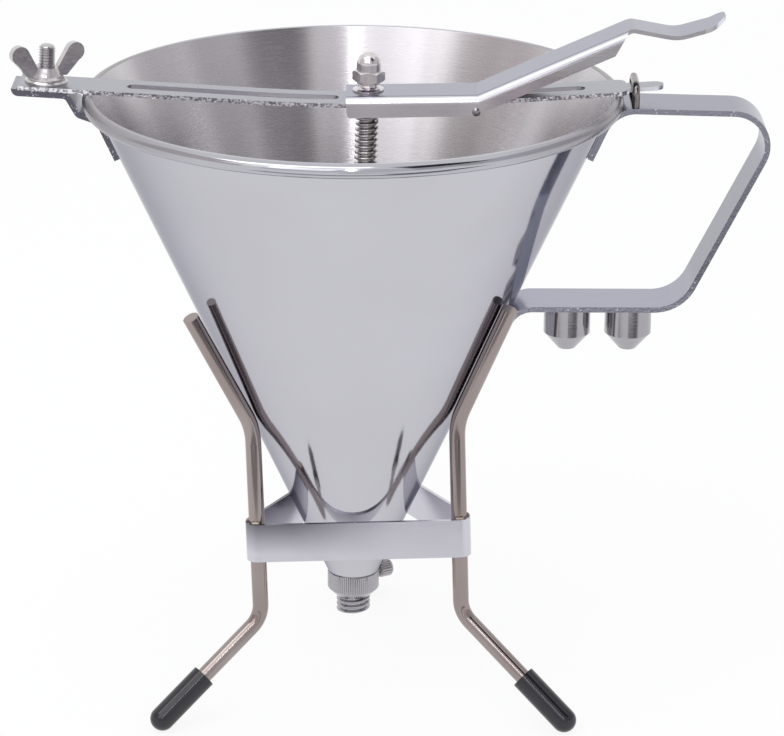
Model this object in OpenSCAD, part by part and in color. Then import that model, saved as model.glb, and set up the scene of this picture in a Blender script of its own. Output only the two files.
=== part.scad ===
// Batter dispenser: a conical hopper with a lever-lifted valve, standing in a wire stand.
// Lengths are in millimetres. X runs to the handle's side, Y to the back and Z up.
// The origin lies on the table, straight below the middle of the outlet.

/* [Hopper] */
// Outside diameter over the rolled rim
rim_d = 190; // [182:0.5:200]
// Diameter of the rolled edge
bead_d = 5; // [4:0.1:6]
// Thickness of the cone's sheet
wall = 0.9; // [0.6:0.1:1.2]
// Slope of the cone's wall, from the vertical
cone_slope = 24.4; // [23.8:0.1:25]
// Distance from the rolled edge's middle in to the cone's outside
rim_roll = 1.2; // [0.8:0.1:1.4]

/* [Outlet] */
// Diameter of the turned collar under the cone
collar_d = 19; // [18:0.1:22]
// Height of the collar's straight side
collar_h = 7.4; // [7:0.1:12]
// Diameter of the outlet thread
thread_d = 12.4; // [11:0.1:14]
// Length of the outlet thread
thread_len = 6; // [5:0.1:8]
// Bore of the outlet
outlet_d = 8; // [7:0.1:9]
// Height of the spigot that stands up inside the cone
spigot_h = 2.5; // [1.5:0.1:4]
// Diameter of the lock screw's shank
lock_d = 3; // [2:0.1:4]
// Diameter of the lock screw's knurled head
lock_head_d = 6.4; // [5:0.1:8]
// Length of the lock screw's head
lock_head_len = 6; // [4:0.1:8]
// Direction of the lock screw, turned back from the handle's side
lock_angle = 30; // [0:1:60]

/* [Stand] */
// Diameter of the stand's wire
wire_d = 5.8; // [5:0.1:7]
// Distance of the upright wires from the axis
leg_r = 42.2; // [40:0.1:46]
// Height of the corner where the arms lean out
arm_z = 110.8; // [105:0.1:120]
// Lean of the arms, from the vertical
arm_slope = 25.9; // [25.2:0.1:30]
// Length of an arm, from its corner to the sawn end
arm_len = 51; // [35:0.5:60]
// Radius of the upper bend, on the wire's middle line
arm_bend = 25; // [15:0.5:35]
// Height of the corner where the feet start
knee_z = 36.6; // [30:0.1:45]
// Radius of the lower bend, on the wire's middle line
knee_bend = 10; // [7:0.5:14]
// Distance of the feet from the axis
foot_r = 84; // [75:0.5:95]
// Diameter of the rubber foot caps
cap_d = 9; // [8:0.1:11]
// Length of the caps up to the middle of their round end
cap_len = 21.5; // [12:0.5:26]
// Height of the band that ties the legs
band_h = 14.5; // [8:0.5:20]
// Height of the band's lower edge above the table
band_z = 60; // [50:0.5:80]
// Thickness of the band
band_t = 1.2; // [1:0.1:2.5]
// Lean of the stand's upright wires, away from the handle's side
stand_lean = 1.8; // [0:0.1:2]

/* [Crossbar] */
// Width of the crossbar
bar_w = 17; // [15:0.5:17.5]
// Thickness of the crossbar
bar_t = 1.5; // [1.2:0.1:1.8]
// Depth of the crossbar's bow below the rim
bar_sag = 5.72; // [5.2:0.1:6.5]
// Radius of the bow's middle
bar_bend = 640; // [560:10:700]
// Reach of the crossbar's left end past the rim
bar_out = 22; // [18:0.5:24]
// Reach of the tongue past the rim
tongue_out = 14; // [9:0.5:19]
// Distance from the rim to the shoulder where the crossbar narrows
shoulder_out = 1; // [-1:0.1:2]
// Width of the tongue
tongue_w = 7.4; // [6:0.1:10]
// Width of the long slots
slot_w = 6; // [4:0.1:8]
// Distance from the rim to the left slot
slot_in_left = 15.6; // [10:0.1:35]
// Distance from the axis to the left slot
slot_near = 5; // [3:0.5:20]
// Distance from the lever's pin to the right slot
slot_pin = 10.9; // [7:0.1:22]
// Distance from the rim to the right slot
slot_in_right = 13.5; // [9:0.1:20]

/* [Clamp] */
// Distance from the rim to the clamp's stud
stud_out = 12.8; // [11:0.1:14]
// Diameter of the clamp's stud
stud_d = 5.8; // [5:0.1:7]
// Height of the stud above the crossbar
stud_h = 13.4; // [12:0.1:16]
// Diameter of the washer under the wing nut
clamp_washer_d = 15; // [13:0.1:17]
// Span over the wings
wing_span = 28; // [22:0.5:30]
// Height of the wings above the crossbar
wing_h = 13.6; // [12:0.1:16]
// Direction in which the wings were left
wing_turn = 32; // [0:1:90]
// Width of the lug strip
lug_w = 17.5; // [15:0.5:20]
// Step of the lug, out from the rim and down to the cone
lug_step = 7.4; // [6.8:0.1:8]
// Length of the lug's run down the cone
lug_tab = 13.8; // [8:0.1:24]

/* [Handle] */
// Width of the handle strip
handle_w = 21; // [18:0.5:24]
// Thickness of the handle and lug strips
strip_t = 2; // [1.5:0.1:2.5]
// Depth of the handle's top run below the rim
grip_top = 3.6; // [3.4:0.1:6]
// Reach of the handle's lower corner past the rim
grip_out = 21.7; // [20:0.1:30]
// Slope of the handle's grip, from the vertical
grip_slope = 26.4; // [22:0.1:28]
// Height from the handle's lower run to its top run
grip_h = 73.4; // [60:0.1:84]
// Bend radius of the handle's top corners
grip_bend = 12; // [9:0.5:14]
// Bend radius of the handle's lower outer corner
heel_bend = 15; // [10:0.5:18]
// Length of the handle's welded end under the rim
tab_up = 18; // [14:0.5:26]
// Length of the handle's welded end below
tab_low = 8; // [7:0.5:14]
// Distance from the rim to the keeper loop
keeper_out = 3.9; // [3.6:0.1:6]
// Diameter of the keeper's wire
keeper_d = 2.6; // [2:0.1:3]

/* [Spare nozzles] */
// Outside diameter of a nozzle
nozzle_d = 16.8; // [15:0.1:19]
// Height of a nozzle
nozzle_h = 16.5; // [14:0.1:20]
// Hole of the inner nozzle
hole_inner = 3; // [2:0.1:5]
// Hole of the outer nozzle
hole_outer = 5; // [3:0.1:6]
// Distance from the cone to the inner nozzle's middle
nozzle_from = 18.8; // [16:0.1:20]
// Distance between the nozzles' middles
nozzle_pitch = 21.9; // [20:0.1:22.5]

/* [Lever] */
// Distance from the axis to the lever's pin
pivot_x = 43.1; // [38:0.1:48]
// Width over the lever's flanges
lever_w = 21; // [20.5:0.1:24]
// Thickness of the lever's sheet
lever_t = 1.5; // [1:0.1:1.6]
// Outer radius along the lever's top edges
lever_round = 2.7; // [2:0.1:3.5]
// Height of the lever's top over the pin
lever_top = 5.6; // [5.5:0.1:7]
// Slope of the lever's front arm
front_slope = 1; // [0.8:0.1:1.4]
// Length of the front arm, from the pin
front_len = 45.8; // [45:0.5:50]
// Depth of the flanges at the front end
front_depth = 7.3; // [6.5:0.1:8]
// Slope of the rear arm
rear_slope = 23.9; // [20:0.5:28]
// Length of the rear arm
rear_len = 58.4; // [50:0.5:64]
// Depth of the flanges along the rear arm
rear_depth = 6; // [5:0.1:7]
// Length of the thumb tab's falling run
tab_fall = 16; // [12:0.5:20]
// Length of the thumb tab's rising run
tab_rise = 12.5; // [9:0.5:18]
// Diameter of the lever's pin
pin_d = 2.4; // [2:0.1:2.6]
// Outside diameter of the tube the pin turns in
sleeve_d = 3.9; // [3.6:0.1:4.2]

/* [Valve] */
// Distance from the axis to the rod's hole in the crossbar
rod_x = 5.2; // [3:0.1:7]
// Diameter of the valve rod
rod_d = 5.6; // [5:0.1:6]
// Diameter of the valve's ball
ball_d = 12; // [11:0.1:13.5]
// Width across the flats of the cap nut
nut_af = 10; // [9:0.5:11]
// Height of the cap nut and its washer above the lever
nut_h = 13.9; // [13:0.1:17]
// Diameter of the domed washer
dome_d = 11; // [10:0.1:12]
// Diameter of the spring's wire
spring_wire = 1.05; // [0.8:0.05:1.2]
// Outside diameter of the spring
spring_d = 8.4; // [8.4:0.1:9.4]
// Number of coils in the spring
spring_turns = 26; // [16:1:28]
// Length of the spring
spring_len = 55; // [45:0.5:65]

/* [Clearances] */
// Gap of running fits, on the radius
run_gap = 0.05; // [0.02:0.01:0.09]
// Gap between the cone and the wires it rests in
seat_gap = 0.3; // [0.2:0.05:0.5]
// Gap between welded or clamped pieces
weld_gap = 0.04; // [0.02:0.01:0.1]
// Gap between the valve and its seat
valve_gap = 0.1; // [0.05:0.01:0.2]
// Gap of the rod in the crossbar's hole, on the radius
guide_gap = 0.1; // [0.05:0.01:0.3]
// Gap between the lever and the domed washer
push_gap = 0.08; // [0.05:0.01:0.15]

/* [Hidden] */

$fn = 64;
satin = "#BFC1C6";
bluish = "#A9ADB9";
warm = "#A39C98";
dark = "#3A383C";
// Bends are this much thinner than the runs they join, so that their ends nest
ease = 0.01;

// Points and directions in the plane of a bent strip or wire
function size2(v) = sqrt(v[0]*v[0] + v[1]*v[1]);
function dirn(a, b) = (b - a) / size2(b - a);
function left(u) = [-u[1], u[0]];
function turn(u, v) = atan2(u[0]*v[1] - u[1]*v[0], u[0]*v[0] + u[1]*v[1]);
function polar(r, a) = r * [cos(a), sin(a)];
function tuck(r) = acos(1 - 0.4*ease/r);
// Length that the bend at corner i takes off each of its runs
function cut(p, r, i) = i <= 0 || i >= len(p) - 1 ? 0 :
    r[i] * tan(abs(turn(dirn(p[i-1], p[i]), dirn(p[i], p[i+1]))) / 2);
// Middle of the bend at corner i
function hub(p, r, i) = p[i] - dirn(p[i-1], p[i]) * cut(p, r, i)
    + left(dirn(p[i-1], p[i])) * sign(turn(dirn(p[i-1], p[i]), dirn(p[i], p[i+1]))) * r[i];
// Angle at which the bend at corner i starts, counted anticlockwise
function bend_from(p, r, i) = let(u = dirn(p[i-1], p[i]), th = turn(u, dirn(p[i], p[i+1])))
    th > 0 ? atan2(-left(u)[1], -left(u)[0]) : atan2(left(u)[1], left(u)[0]) + th;

// Edge view of a sheet strip along corners p with bend radii r on its middle line
module bent_strip(p, r, t) {
    for (i = [0 : len(p) - 2]) {
        u = dirn(p[i], p[i+1]);
        a = p[i] + u * cut(p, r, i);
        b = p[i+1] - u * cut(p, r, i + 1);
        translate(a) rotate(atan2(u[1], u[0])) translate([0, -t/2]) square([size2(b - a), t]);
    }
    for (i = [1 : len(p) - 2]) {
        w = abs(turn(dirn(p[i-1], p[i]), dirn(p[i], p[i+1]))) + 2*tuck(r[i]);
        far = 3*(r[i] + t);
        translate(hub(p, r, i)) rotate(bend_from(p, r, i) - tuck(r[i])) intersection() {
            difference() {
                circle(r[i] + t/2 - ease);
                circle(r[i] - t/2 + ease);
            }
            polygon([[0, 0], polar(far, 0), polar(far, w/2), polar(far, w)]);
        }
    }
}

// Round wire of diameter d along corners p with bend radii r
module bent_wire(p, r, d) {
    for (i = [0 : len(p) - 2]) {
        u = dirn(p[i], p[i+1]);
        a = p[i] + u * cut(p, r, i);
        b = p[i+1] - u * cut(p, r, i + 1);
        translate([a[0], a[1], 0]) rotate([0, 0, atan2(u[1], u[0])]) rotate([0, 90, 0])
            cylinder(h = size2(b - a), d = d, $fn = 24);
    }
    for (i = [1 : len(p) - 2]) {
        w = abs(turn(dirn(p[i-1], p[i]), dirn(p[i], p[i+1]))) + 2*tuck(r[i]);
        c = hub(p, r, i);
        translate([c[0], c[1], 0]) rotate([0, 0, bend_from(p, r, i) - tuck(r[i])])
            rotate_extrude(angle = w) translate([r[i], 0]) circle(d = d - 2*ease, $fn = 24);
    }
}

// Stands a drawing of the XZ plane up and gives it the width w
module upright(w) { rotate([90, 0, 0]) linear_extrude(w, center = true) children(); }

// The cone rests where its own slope is tangent to the arms' upper bend
rest_r = leg_r + arm_bend*(1 - cos(cone_slope)) - (wire_d/2 + seat_gap)*cos(cone_slope);
rest_z = arm_z - arm_bend*tan(arm_slope/2) + arm_bend*sin(cone_slope)
    + (wire_d/2 + seat_gap)*sin(cone_slope);
apex_z = rest_z - rest_r/tan(cone_slope);
function cone_r(z) = (z - apex_z)*tan(cone_slope);
skin = wall/cos(cone_slope);
bead_r = rim_d/2 - bead_d/2;
bead_z = apex_z + (bead_r - rim_roll)/tan(cone_slope);
rim_z = bead_z + bead_d/2;
lip_r = collar_d/2 + 0.15;
lip_z = apex_z + lip_r/tan(cone_slope);

module hopper_cone() {
    color(satin) rotate_extrude($fn = 96) union() {
        polygon([[lip_r - skin, lip_z], [lip_r, lip_z],
            [bead_r - rim_roll, bead_z], [bead_r - rim_roll - skin, bead_z]]);
        translate([bead_r, bead_z]) circle(d = bead_d, $fn = 24);
    }
}

// Outlet: thread, chamfered collar and a spigot with the valve's conical seat
chamfer = (collar_d - thread_d)/2 - 0.3;
outlet_z = lip_z - collar_h - chamfer - thread_len;
spigot_r = lip_r - skin - weld_gap;
seat_z = lip_z + spigot_h - (spigot_r - 0.5 - outlet_d/2);
ball_z = seat_z - outlet_d/2 + sqrt(2)*(ball_d/2 + valve_gap);
lock_z = lip_z - collar_h + 4.2;

module outlet_bush() {
    color(satin) difference() {
        rotate_extrude() polygon([
            [outlet_d/2, outlet_z], [thread_d/2 - 0.7, outlet_z], [thread_d/2, outlet_z + 0.7],
            [thread_d/2, outlet_z + thread_len], [collar_d/2 - chamfer, outlet_z + thread_len],
            [collar_d/2, lip_z - collar_h], [collar_d/2, lip_z], [spigot_r, lip_z],
            [spigot_r, lip_z + spigot_h], [spigot_r - 0.5, lip_z + spigot_h],
            [outlet_d/2, seat_z]]);
        rotate([0, 0, lock_angle]) translate([outlet_d/2 + 1.2, 0, lock_z]) rotate([0, 90, 0])
            cylinder(h = collar_d, d = lock_d + 2*run_gap, $fn = 32);
    }
}

module lock_screw() {
    color(satin) rotate([0, 0, lock_angle]) translate([0, 0, lock_z]) rotate([0, 90, 0])
        rotate_extrude($fn = 32) union() {
            translate([0, outlet_d/2 + 1.7]) square([lock_d/2, collar_d/2 - outlet_d/2]);
            translate([0, collar_d/2 + 1]) square([lock_head_d/2, lock_head_len - 1]);
            translate([0, collar_d/2 + 1]) square([lock_head_d/2 - 1, lock_head_len]);
            intersection() {
                translate([lock_head_d/2 - 1, collar_d/2 + lock_head_len]) circle(r = 1, $fn = 32);
                translate([0, collar_d/2 + lock_head_len - 1.5]) square([lock_head_d, 3]);
            }
        }
}

// Crossbar: a strip bowed down between the two sides of the rim
bar_rim = rim_z + weld_gap + bar_t/2;
bar_left = rim_d/2 + bar_out;
bar_right = rim_d/2 + tongue_out;
shoulder_x = rim_d/2 + shoulder_out;
fall_left = bar_sag/(bead_r + rod_x);
fall_right = bar_sag/(bead_r - rod_x);
bar_p = [[-bar_left, bar_rim + (bar_left - bead_r)*fall_left], [rod_x, bar_rim - bar_sag],
    [bar_right, bar_rim + (bar_right - bead_r)*fall_right]];
bar_b = [0, bar_bend, 0];
// Height of the crossbar's middle line
function bar_mid(x) = let(c = hub(bar_p, bar_b, 1), k = cut(bar_p, bar_b, 1))
    x > rod_x + k ? bar_rim + (x - bead_r)*fall_right :
    x < rod_x - k ? bar_rim + (-x - bead_r)*fall_left :
    c[1] - sqrt(bar_bend*bar_bend - (x - c[0])*(x - c[0]));
lean = atan2(rod_x, bar_mid(rod_x) - ball_z);
function rod_at(z) = (z - ball_z)*tan(lean);

module long_slot(a, b, w) {
    translate([a + w/2, 0]) circle(d = w, $fn = 32);
    translate([b - w/2, 0]) circle(d = w, $fn = 32);
    translate([a + w/2, -w/2]) square([b - a - w, w]);
}

module crossbar() {
    corner = 3.5;
    color(bluish) difference() {
        intersection() {
            upright(bar_w + 2) bent_strip(bar_p, bar_b, bar_t, $fn = 1200);
            translate([0, 0, rim_z - 20]) linear_extrude(40) union() {
                translate([-bar_left - 1, -bar_w/2])
                    square([bar_left + 1 + shoulder_x - corner, bar_w]);
                translate([0, -bar_w/2 + corner]) square([shoulder_x, bar_w - 2*corner]);
                for (s = [-1, 1]) translate([shoulder_x - corner, s*(bar_w/2 - corner)])
                    circle(r = corner, $fn = 32);
                translate([0, -tongue_w/2]) square([bar_right - tongue_w/2, tongue_w]);
                translate([bar_right - tongue_w/2, 0]) circle(d = tongue_w, $fn = 32);
            }
        }
        translate([0, 0, rim_z - 20]) linear_extrude(40) {
            long_slot(slot_in_left - rim_d/2, -slot_near, slot_w);
            long_slot(pivot_x + slot_pin, rim_d/2 - slot_in_right, slot_w);
        }
        on_rod(150) cylinder(h = 100, d = rod_d + 2*guide_gap);
        on_clamp(-10) cylinder(h = 20, d = stud_d + 0.4);
    }
}

// Frame on the valve rod's axis, s above the ball's middle
module on_rod(s) { translate([0, 0, ball_z]) rotate([0, lean, 0]) translate([0, 0, s]) children(); }

// Frame square to the crossbar at the clamp, h above its top face
stud_x = rim_d/2 + stud_out;
clamp_lean = atan(fall_left);
clamp_z = bar_rim + (stud_x - bead_r)*fall_left;
module on_clamp(h) {
    translate([-stud_x, 0, clamp_z]) rotate([0, clamp_lean, 0])
        translate([0, 0, bar_t/2/cos(clamp_lean) + h]) children();
}

// Lug: bent up at its end, flat under the crossbar and stepped down to the cone
lug_off = bar_t/2 + strip_t/2 + weld_gap;
tab_off = (strip_t/2 + weld_gap)/cos(cone_slope);
function lug_z(x) = bar_rim + (-x - bead_r)*fall_left - lug_off/cos(clamp_lean);
lug_end = bar_left + 0.3 + strip_t/2;
function lug_on(z) = [-cone_r(z) - tab_off, z];
lug_p = [[-lug_end, clamp_z + 0.2], [-lug_end, lug_z(-lug_end)],
    [-bead_r - lug_step, lug_z(-bead_r - lug_step)], [-bead_r - lug_step*0.49, bead_z - lug_step*0.66],
    lug_on(bead_z - lug_step), lug_on(bead_z - lug_step - lug_tab)];
module bar_lug() {
    color(bluish) difference() {
        upright(lug_w) bent_strip(lug_p, [0, 1.5, 2.6, 2.6, 3.2, 0], strip_t);
        on_clamp(-bar_t - strip_t - 4) cylinder(h = strip_t + 6, d = stud_d);
    }
}

module clamp_stud() {
    foot = -bar_t - strip_t - 2*weld_gap;
    color(satin) on_clamp(foot) rotate_extrude($fn = 32) union() {
        square([stud_d/2, stud_h - foot - 1]);
        square([stud_d/2 - 1, stud_h - foot]);
        intersection() {
            translate([stud_d/2 - 1, stud_h - foot - 1]) circle(r = 1, $fn = 32);
            translate([0, stud_h - foot - 1.5]) square([stud_d, 3]);
        }
    }
}

washer_t = 1.2;
module clamp_washer() {
    color(satin) on_clamp(weld_gap) rotate_extrude() polygon([
        [stud_d/2 + 0.15, 0], [clamp_washer_d/2, 0], [clamp_washer_d/2, washer_t*0.5],
        [clamp_washer_d/2 - 0.5, washer_t], [stud_d/2 + 0.15, washer_t]]);
}

// Wing nut: flared foot, tapered hub and two paddles
module wing_nut() {
    foot = washer_t + 2*weld_gap;
    hub = stud_d/2 + 1.3;
    tip = 3.3;
    c = [wing_span/2 - tip, wing_h - tip];
    color(satin) on_clamp(0) difference() {
        union() {
            rotate_extrude() polygon([[0, foot], [hub + 2.2, foot], [hub + 2.2, foot + 0.5],
                [hub + 1, foot + 1.2], [hub, foot + 4.3], [0, foot + 4.3]]);
            rotate([0, 0, wing_turn]) for (s = [-1, 1]) upright(2.6) {
                polygon([[s*(hub - 0.8), foot + 0.8], [s*(hub + 3.2), foot + 0.8],
                    [s*(c[0] + 0.93*tip), c[1] - 0.37*tip], [s*(c[0] - 0.85*tip), c[1] + 0.53*tip],
                    [s*(hub - 0.2), foot + 4.1], [s*(hub - 0.8), foot + 4.1]]);
                translate([s*c[0], c[1]]) circle(r = tip, $fn = 40);
            }
        }
        cylinder(h = 40, d = stud_d + 2*run_gap);
    }
}

// Handle: one strip from under the rim, out, down at about the cone's slope and back
top_z = rim_z - grip_top - strip_t/2;
low_z = top_z - grip_h;
heel_x = rim_d/2 + grip_out;
function grip_on(z) = [cone_r(z) + tab_off, z];
handle_p = [grip_on(top_z - tab_up), grip_on(top_z),
    [heel_x + (grip_h - 1.4)*tan(grip_slope), top_z - 1.4], [heel_x, low_z],
    grip_on(low_z), grip_on(low_z - tab_low)];
module handle() {
    color(bluish) upright(handle_w)
        bent_strip(handle_p, [0, grip_bend, grip_bend, heel_bend, heel_bend - 6, 0], strip_t);
}

// Keeper: a wire staple on the handle that the crossbar's tongue slides under
keeper_x = rim_d/2 + keeper_out;
keeper_in = bar_mid(keeper_x + keeper_d/2) + bar_t/2 + 0.35;
keeper_half = handle_w/2 - 0.6 - keeper_d/2;
module keeper_loop() {
    top = keeper_in + keeper_d/2;
    foot = top_z + strip_t/2 - 0.4;
    color(warm) translate([keeper_x, 0, 0]) rotate([90, 0, 90])
        bent_wire([[-keeper_half, foot], [-keeper_half, top], [keeper_half, top], [keeper_half, foot]],
            [0, 3.4, 3.4, 0], keeper_d);
}

// Threaded studs under the handle, and the spare nozzles screwed onto them
hang_z = low_z - strip_t/2;
nozzle_a = grip_on(low_z)[0] + nozzle_from;
nozzle_b = nozzle_a + nozzle_pitch;
module nozzle_studs() {
    color(satin) for (x = [nozzle_a, nozzle_b]) translate([x, 0, hang_z - thread_len - weld_gap])
        rotate_extrude($fn = 48) polygon([[0, 0], [thread_d/2 - 0.7, 0], [thread_d/2, 0.7],
            [thread_d/2, thread_len], [0, thread_len]]);
}

module nozzle(x, hole) {
    bore = thread_d/2 + run_gap;
    nose = nozzle_h*0.38;
    color(satin) translate([x, 0, hang_z - 0.3 - nozzle_h]) rotate_extrude($fn = 72) difference() {
        union() {
            polygon([[hole/2, 0], [nozzle_d/2 - nose*0.82 - 0.8, 0], [nozzle_d/2 - nose*0.82, 0.35],
                [nozzle_d/2, nose], [nozzle_d/2, nozzle_h - 0.3], [nozzle_d/2 - 0.3, nozzle_h],
                [hole/2, nozzle_h]]);
        }
        polygon([[0, 3], [hole/2, 3], [bore - 0.6, nozzle_h - thread_len - 1.2],
            [bore, nozzle_h - thread_len - 0.6], [bore, nozzle_h + 1], [0, nozzle_h + 1]]);
    }
}
module nozzle_inner() { nozzle(nozzle_a, hole_inner); }
module nozzle_outer() { nozzle(nozzle_b, hole_outer); }

// Lever, drawn about its pin: a channel with a low front arm, a rising rear arm and a tab
pivot_z = bar_mid(pivot_x) - bar_t/2 - sleeve_d/2 - weld_gap;
module on_pivot() { translate([pivot_x, 0, pivot_z]) children(); }
function along(a, s) = s*[cos(a), sin(a)];
bend_pt = [0.4, lever_top];
front_pt = bend_pt - (front_len + bend_pt[0])*[1, tan(front_slope)];
crest_pt = bend_pt + along(rear_slope, rear_len);

// Sheet channel of length l, made thinner by inset on each face where it nests in another
module sheet_channel(l, inset) {
    flange = lever_top + 6;
    flat = lever_w - 2*lever_round;
    rotate([90, 0, 90]) linear_extrude(l) difference() {
        union() {
            translate([-lever_w/2 + inset, -flange])
                square([lever_w - 2*inset, flange - lever_round]);
            translate([-flat/2, -flange]) square([flat, flange - inset]);
            for (s = [-1, 1]) translate([s*flat/2, -lever_round])
                circle(r = lever_round - inset, $fn = 48);
        }
        translate([-lever_w/2 + lever_t - inset, -flange - 1])
            square([lever_w - 2*lever_t + 2*inset, flange + 1 - lever_round]);
        translate([-flat/2, -flange - 1]) square([flat, flange + 1 - lever_t + inset]);
        for (s = [-1, 1]) translate([s*flat/2, -lever_round])
            circle(r = lever_round - lever_t + inset, $fn = 48);
    }
}

// Side outline of the lever's flanges
module lever_side() {
    drop = sleeve_d/2 - 0.5;
    tail = crest_pt + along(rear_slope - 90, rear_depth) - along(rear_slope, 8.9);
    knee = tail - along(rear_slope, (tail[0] - 2.2)/cos(rear_slope));
    nose = front_pt[1] - front_depth;
    polygon([front_pt + [0, 4], bend_pt + [0, 8], crest_pt + [-3, 8],
        crest_pt - along(rear_slope, 1.2), tail, knee, [bend_pt[0], -drop],
        [front_pt[0] + 1.4, nose], [front_pt[0] + 0.8, nose + 0.7], [front_pt[0] + 0.5, -0.5]]);
}

// Slot in the web for the rod, which the web sweeps past as it tilts
web_z = pivot_z + lever_top - (pivot_x - rod_x)*tan(front_slope);
slot_x = rod_at(web_z - lever_t/2) - pivot_x;

module lever() {
    root = crest_pt + along(rear_slope - 90, lever_t/2);
    dip = root + along(-10.5, tab_fall);
    lift = dip + along(16, tab_rise);
    tip = lift + along(34, 6);
    tab_w = lever_w - 2*lever_round - 0.1;
    big = 200;
    color(bluish) on_pivot() difference() {
        union() {
            intersection() {
                union() {
                    difference() {
                        translate([bend_pt[0], 0, bend_pt[1]]) rotate([0, -front_slope, 0])
                            translate([-big/2, 0, 0]) sheet_channel(big/2 + 20, 0);
                        translate([bend_pt[0], -big/2, bend_pt[1]])
                            rotate([0, -(front_slope + rear_slope)/2, 0])
                            translate([0, 0, -big/2]) cube([big, big, big]);
                    }
                    difference() {
                        translate([bend_pt[0], 0, bend_pt[1]]) rotate([0, -rear_slope, 0])
                            translate([-20, 0, 0]) sheet_channel(big/2 + 20, ease);
                        translate([bend_pt[0], -big/2, bend_pt[1]])
                            rotate([0, -(front_slope + rear_slope)/2, 0])
                            translate([-big - 0.3, 0, -big/2]) cube([big, big, big]);
                    }
                }
                upright(lever_w + 2) lever_side();
            }
            intersection() {
                upright(tab_w) bent_strip([root - along(rear_slope, 6), root, dip, lift, tip],
                    [0, 3, 14, 9, 0], lever_t - 4*ease);
                translate([0, 0, -10]) linear_extrude(80) union() {
                    translate([crest_pt[0] - 20, -tab_w/2]) square([tip[0] - tab_w/2 - crest_pt[0] + 20, tab_w]);
                    translate([tip[0] - tab_w/2, 0]) circle(d = tab_w - 2*ease);
                }
            }
        }
        translate([0, 0, lever_top - 6]) linear_extrude(12)
            long_slot(slot_x - 2.3 - rod_d/2 - 0.4, slot_x + 0.2 + rod_d/2 + 0.4, rod_d + 0.8);
        rotate([90, 0, 0]) cylinder(h = 2*lever_w, d = pin_d, center = true, $fn = 32);
    }
}

module pivot_pin() {
    color(satin) on_pivot() rotate([90, 0, 0]) rotate_extrude($fn = 32) polygon([
        [0, -lever_w/2 - 0.9], [0.9, -lever_w/2 - 0.75], [sleeve_d/2 - 0.5, -lever_w/2 - 0.3],
        [sleeve_d/2 - 0.5, -lever_w/2], [pin_d/2, -lever_w/2], [pin_d/2, lever_w/2],
        [sleeve_d/2 - 0.5, lever_w/2], [sleeve_d/2 - 0.5, lever_w/2 + 0.3],
        [0.9, lever_w/2 + 0.75], [0, lever_w/2 + 0.9]]);
}

module pivot_sleeve() {
    color(satin) on_pivot() rotate([90, 0, 0]) difference() {
        cylinder(h = lever_w - 2*lever_t - 1, d = sleeve_d, center = true, $fn = 40);
        cylinder(h = lever_w, d = pin_d + 2*run_gap, center = true, $fn = 40);
    }
}

// Valve: leaning rod, ball end, cap nut on the lever and a spring under the crossbar
rod_top = (web_z - ball_z)/cos(lean);
spring_top = (bar_mid(rod_x) - bar_t/2 - 0.15 - ball_z)/cos(lean);
module valve_rod() {
    color(satin) on_rod(ball_d/2 - 2) rotate_extrude($fn = 40) polygon([[0, 0], [rod_d/2, 0],
        [rod_d/2, rod_top + nut_h - 6.4 - ball_d/2 + 2],
        [rod_d/2 - 0.6, rod_top + nut_h - 5.8 - ball_d/2 + 2], [0, rod_top + nut_h - 5.8 - ball_d/2 + 2]]);
}

module valve_ball() {
    color(satin) difference() {
        on_rod(0) sphere(d = ball_d, $fn = 48);
        on_rod(ball_d/2 - 2) cylinder(h = 10, d = rod_d, $fn = 40);
    }
}

dome_h = 2.3;
module dome_washer() {
    color(warm) translate([rod_at(web_z + push_gap), 0, web_z + push_gap])
        rotate([0, -front_slope, 0]) rotate_extrude() polygon([
            [rod_d/2 + 0.3, 0], [dome_d/2, 0], [dome_d/2, 0.5], [dome_d/2 - 1.2, 0.9],
            [dome_d/2 - 1.9, 1.6], [dome_d/2 - 2.1, dome_h], [rod_d/2 + 0.3, dome_h]]);
}

module cap_nut() {
    foot = dome_h + push_gap + 0.25;
    hex = foot + 0.8;
    dome = nut_af/2 - 0.7;
    color(warm) on_rod(rod_top) difference() {
        union() {
            intersection() {
                translate([0, 0, hex]) cylinder(h = 3.8, d = nut_af/cos(30), $fn = 6);
                rotate_extrude() polygon([[0, hex - 1], [nut_af/2 - 0.4, hex - 1],
                    [nut_af/2 - 0.1, hex], [nut_af/2/cos(30), hex + 0.5],
                    [nut_af/2/cos(30), hex + 3.2], [nut_af/2 - 0.2, hex + 3.9], [0, hex + 4]]);
            }
            translate([0, 0, foot]) cylinder(h = hex - foot + 1, r = nut_af/2 - 0.9);
            cylinder_dome(hex + 3, nut_h, dome);
        }
        translate([0, 0, foot - 1]) cylinder(h = nut_h - 5.5 - foot + 1, d = rod_d, $fn = 40);
    }
}

// Round-topped cylinder between heights a and b
module cylinder_dome(a, b, r) {
    translate([0, 0, a]) cylinder(h = b - a - r, r = r);
    translate([0, 0, b - r]) sphere(r = r);
}

module spring_collar() {
    color(satin) on_rod(spring_top - spring_len - 2.1) difference() {
        cylinder(h = 2, d = spring_d + 1.4);
        translate([0, 0, -1]) cylinder(h = 4, d = rod_d, $fn = 40);
    }
}

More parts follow.
